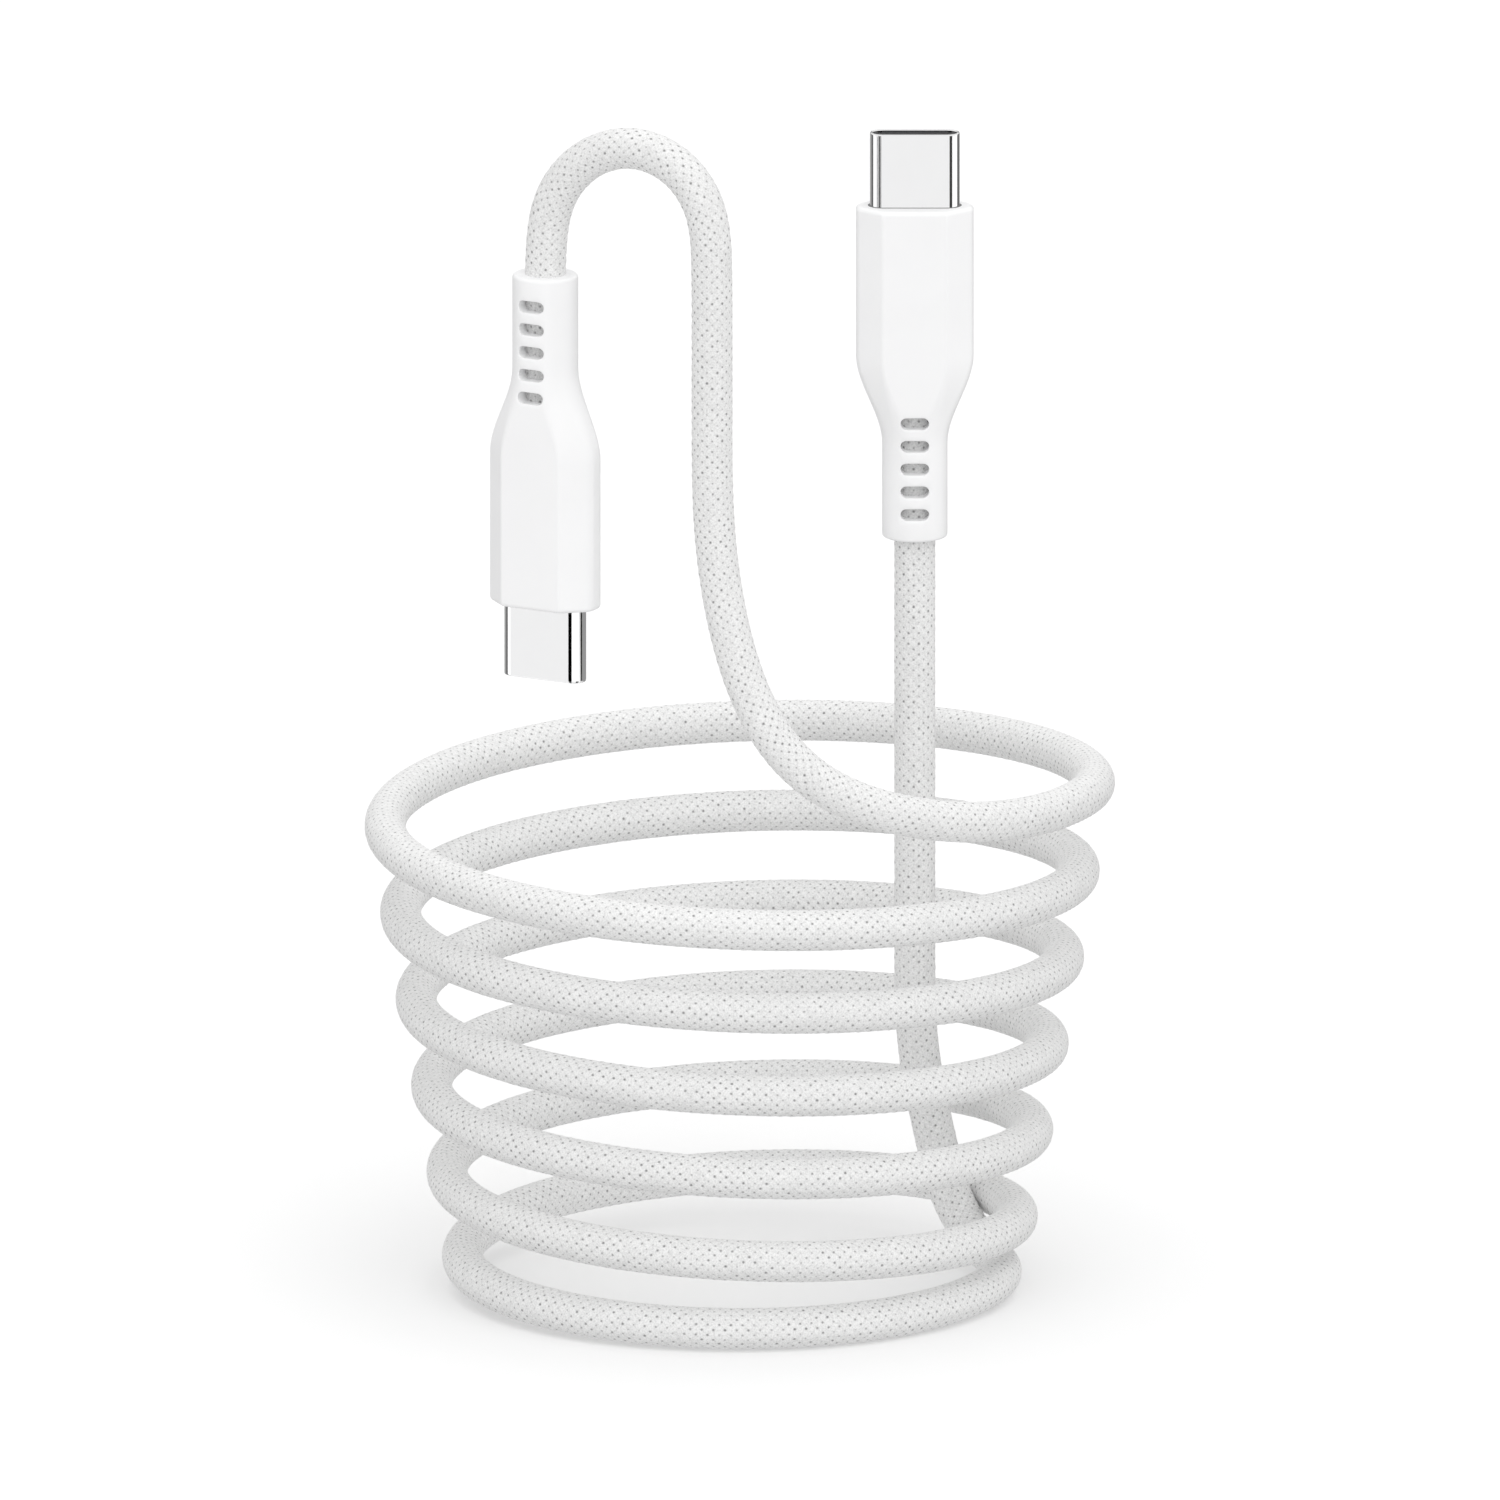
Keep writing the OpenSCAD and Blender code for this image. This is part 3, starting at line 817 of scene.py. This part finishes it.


# Painted shadow: the dark grey of the ring in the seam round each shell's foot
SEAM_SHADOW_GREY = moulded_material("seam_shadow_paint", (0.2, 0.2, 0.2), 0.6)
BRAID = braid_material()
HOUSING = moulded_material("housing", (0.925, 0.925, 0.93), 0.36)
CHROME = metal_material("chrome", (0.9, 0.9, 0.905), 0.07, (1, 1, 0.15), 0.01)
GOLD = metal_material("gold", (0.93, 0.7, 0.33), 0.22)
SPRING_STEEL = metal_material("spring_steel", (0.74, 0.73, 0.71), 0.25)
LATCH_STEEL = metal_material("latch_steel", (0.72, 0.71, 0.7), 0.25)
NODE_LOOKS = {
    "inner_mould": moulded_material("ivory_mould", (0.82, 0.79, 0.7), 0.5),
    "rear_shell": metal_material("rear_steel", (0.7, 0.7, 0.71), 0.28),
    "insulator": moulded_material("dark_insulator", (0.022, 0.022, 0.025), 0.42, 0.002, 0.3),
    "contacts_upper": GOLD,
    "contacts_lower": GOLD,
    "spring_upper": SPRING_STEEL,
    "spring_lower": SPRING_STEEL,
    "latch_plate": LATCH_STEEL,
    "latch_left": LATCH_STEEL,
    "latch_right": LATCH_STEEL,
    "card": moulded_material("card_green", (0.03, 0.2, 0.09), 0.35, 0.003, 0.25),
    "marker_chip": moulded_material("chip_black", (0.02, 0.02, 0.02), 0.5, 0.003, 0.3),
    "passives": moulded_material("ceramic_tan", (0.55, 0.4, 0.25), 0.5, 0.003, 0.15),
    "ferrule": metal_material("ferrule_steel", (0.66, 0.66, 0.67), 0.35),
    "jacket_end": moulded_material("jacket_white", (0.8, 0.8, 0.8), 0.5),
    "wire_power": moulded_material("wire_red", (0.5, 0.03, 0.03), 0.4, 0.002, 0.1),
    "wire_ground": moulded_material("wire_black", (0.03, 0.03, 0.03), 0.4, 0.002, 0.2),
    "wire_config": moulded_material("wire_blue", (0.04, 0.12, 0.45), 0.4, 0.002, 0.1),
    "wires_data": moulded_material("wires_green", (0.05, 0.32, 0.12), 0.4, 0.002, 0.1),
}


def wear(piece, material):
    """The piece's whole surface in one material."""
    piece.data.materials.clear()
    piece.data.materials.append(material)


for plug in PLUGS:
    wear(housings[plug], HOUSING)
    wear(shells[plug], CHROME)
    wear(seam_shadows[plug], SEAM_SHADOW_GREY)
    for part, look in NODE_LOOKS.items():
        wear(nodes[f"{plug}_{part}"], look)
for piece in cord_pieces:
    wear(piece, BRAID)

# ---- what each piece rides on

for plug in PLUGS:
    bend_neck(housings[plug])
    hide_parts(plug + "_housing")
    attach(shells[plug], plug)
    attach(seam_shadows[plug], plug)
    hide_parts(plug + "_shell")

bend_neck(cord_lead_a)
bend_neck(cord_lead_b)
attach(cord_upper, "cord")
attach(cord_lower, "cord")
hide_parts("cord_hook")
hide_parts("cord_hook", "cord_coil")
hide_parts("cord_coil", "cord_riser")
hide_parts("cord_riser")


def declare_cord(piece, from_last):
    """The rings of this stretch of the cord, from its last ring or its first; nothing more is done
    with them.
    """
    first, last = cord_pieces[piece]
    path = rings[first : last + 1]
    if from_last:
        path = path[::-1]


declare_cord(cord_lead_a, True)
declare_cord(cord_upper, False)
declare_cord(cord_lower, False)
declare_cord(cord_lead_b, False)

# ---- studio

FLOOR_R = 1.2
FLOOR_GREY = 0.85
FLOOR_CLOUDING = 0.005
FLOOR_GLOW = 0.1


def add_floor():
    """A wide white floor, lit a little from below as a photographer's light table is."""
    points = [(FLOOR_R * x, FLOOR_R * y, 0) for x, y in circle(1, steps=96)]
    mesh = bpy.data.meshes.new("floor")
    mesh.from_pydata(points, [], [tuple(range(len(points)))])
    floor = new_object("floor", mesh)
    g = Graph("floor")
    soft = g.ramp(g.noise(40, 2.0), 0.3, 0.7, 0.0, 1.0, "LINEAR")
    low = (FLOOR_GREY * (1 - FLOOR_CLOUDING),) * 3 + (1,)
    high = (FLOOR_GREY,) * 3 + (1,)
    g.set(Base_Color=g.mix(soft, low, high), Roughness=0.9, Specular_IOR_Level=0.1)
    g.set(Emission_Color=(1, 1, 1, 1), Emission_Strength=FLOOR_GLOW)
    wear(floor, g.material)
    floor.visible_glossy = False
    floor.visible_diffuse = False


# (degrees to the right of the front, brightness) of the studio as polished metal reflects it
STUDIO_BANDS = [
    (-180, 0.5),
    (-150, 0.5),
    (-124, 0.3),
    (-106, 0.12),
    (-97, 0.1),
    (-93, 1.2),
    (-66, 1.2),
    (-62, 0.97),
    (-41, 0.97),
    (-38, 0.1),
    (-17, 0.06),
    (-14, 0.97),
    (24, 0.97),
    (27, 0.05),
    (49, 0.05),
    (52, 1.2),
    (104, 1.2),
    (108, 0.18),
    (142, 0.14),
    (156, 0.4),
    (180, 0.5),
]
SKY = (0.93, 0.93, 0.93, 1)
STRIP = (0.08, 0.08, 0.08, 1)
# Where each edge of the dark strip starts and where it is full: by height, and by how far behind
STRIP_BOTTOM = (0.16, 0.19)
STRIP_TOP = (0.31, 0.28)
STRIP_SIDE = (0.3, 0.5)
# Light on everything that isn't polished: from below, and from above as the room's own
# level, what the zenith adds to it, and one broad lamp's peak, sharpness and place
FLOOR_LIGHT = 0.88
ROOM_LIGHT = 0.5
TOP_LIGHT = 0.75
KEY_LIGHT = 1.15
KEY_SPREAD = 6
KEY_SIDE = math.radians(11)
KEY_HEIGHT = math.radians(34)


def add_studio():
    """White light from above and the front, with dark strips for polished metal to reflect."""
    world = bpy.data.worlds.new("studio")
    scene.world = world
    world.use_nodes = True
    g = Nodes(world.node_tree)
    g.tree.nodes.clear()
    way = g.add("TexCoord").node.outputs["Generated"]
    x, y, z = g.add("SeparateXYZ", way).node.outputs

    # What polished metal reflects: bands all round below the horizon, white above it,
    # and one dark strip low down behind
    turn = g.math("ARCTAN2", x, g.math("MULTIPLY", y, -1.0))
    bands = g.add("ValToRGB", g.ramp(turn, -math.pi, math.pi, kind="LINEAR"))
    stops = bands.node.color_ramp.elements
    while len(stops) < len(STUDIO_BANDS):
        stops.new(1)
    for stop, (degrees, grey) in zip(stops, STUDIO_BANDS):
        stop.position = (degrees + 180) / 360
        stop.color = (grey, grey, grey, 1)
    strip = g.math("MULTIPLY", g.ramp(z, *STRIP_BOTTOM), g.ramp(z, *STRIP_TOP))
    strip = g.math("MULTIPLY", strip, g.ramp(y, *STRIP_SIDE))
    gloss = g.mix(g.ramp(z, 0.0, 0.04), bands, g.mix(strip, SKY, STRIP))

    # What everything else is lit by
    reach = math.cos(KEY_HEIGHT)
    key = (reach * math.sin(KEY_SIDE), -reach * math.cos(KEY_SIDE), math.sin(KEY_HEIGHT))
    facing = g.add("VectorMath", way, key, operation="DOT_PRODUCT").node.outputs["Value"]
    lamp = g.math("POWER", g.math("MAXIMUM", facing, 0.0), KEY_SPREAD)
    level = g.math("MULTIPLY_ADD", z, TOP_LIGHT, ROOM_LIGHT)
    level = g.math("MULTIPLY_ADD", lamp, KEY_LIGHT, level)
    level = g.ramp(z, -0.02, 0.02, FLOOR_LIGHT, level)

    ray = g.add("LightPath").node.outputs
    seen = g.mix(ray["Is Glossy Ray"], level, gloss)
    seen = g.mix(ray["Is Camera Ray"], seen, (1, 1, 1, 1))
    output = g.tree.nodes.new("ShaderNodeOutputWorld")
    g.feed(output.inputs["Surface"], g.add("Background", seen))


# (name, brightness, first degree, last degree) of each card that stands in an arc beside plug A,
# in degrees to the right of the front
CARDS = [
    ("card_black_left", 0.0, -43, -13),
    ("card_white", 1.2, -13, 60),
    ("card_black_right", 0.0, 60, 83),
    ("card_grey", 0.33, 83, 150),
]
CARD_R = 0.025
CARD_MARGIN = 0.002
CARD_STEPS = 12


def add_card(name, grey, start, end):
    """A curved card beside plug A's tip, which shows only in reflections."""
    centre = PLUGS["plug_a"] @ Vector((0, 0, (HOUSING_LEN_MM + TIP_MM) / 2 * MM))
    across = PLUGS["plug_a"].to_3x3() @ Vector(((SHELL_MM[0] - SHELL_MM[1]) / 2 * MM, 0, 0))
    centre += across if across.x > 0 else -across
    half = (TIP_MM - HOUSING_LEN_MM) / 2 * MM + CARD_MARGIN
    # The view comes from above, so the upright shell mirrors what stands a little lower
    middle = centre.z - CARD_R * math.tan(VIEW_ELEVATION)
    points = []
    for k in range(CARD_STEPS + 1):
        angle = math.radians(start + (end - start) * k / CARD_STEPS)
        x = centre.x + CARD_R * math.sin(angle)
        y = centre.y - CARD_R * math.cos(angle)
        points += [(x, y, middle - half), (x, y, middle + half)]
    faces = [(2 * k, 2 * k + 2, 2 * k + 3, 2 * k + 1) for k in range(CARD_STEPS)]
    mesh = bpy.data.meshes.new(name)
    mesh.from_pydata(points, [], faces)
    card = new_object(name, mesh)
    g = Graph(name)
    g.set(Base_Color=(0, 0, 0, 1), Specular_IOR_Level=0.0, Emission_Color=(1, 1, 1, 1))
    g.set(Emission_Strength=grey)
    wear(card, g.material)
    card.visible_camera = False
    card.visible_diffuse = False
    card.visible_shadow = False


add_floor()
add_studio()
for card in CARDS:
    add_card(*card)
scene.view_settings.view_transform = "Standard"
scene.view_settings.look = "None"
scene.cycles.use_denoising = True
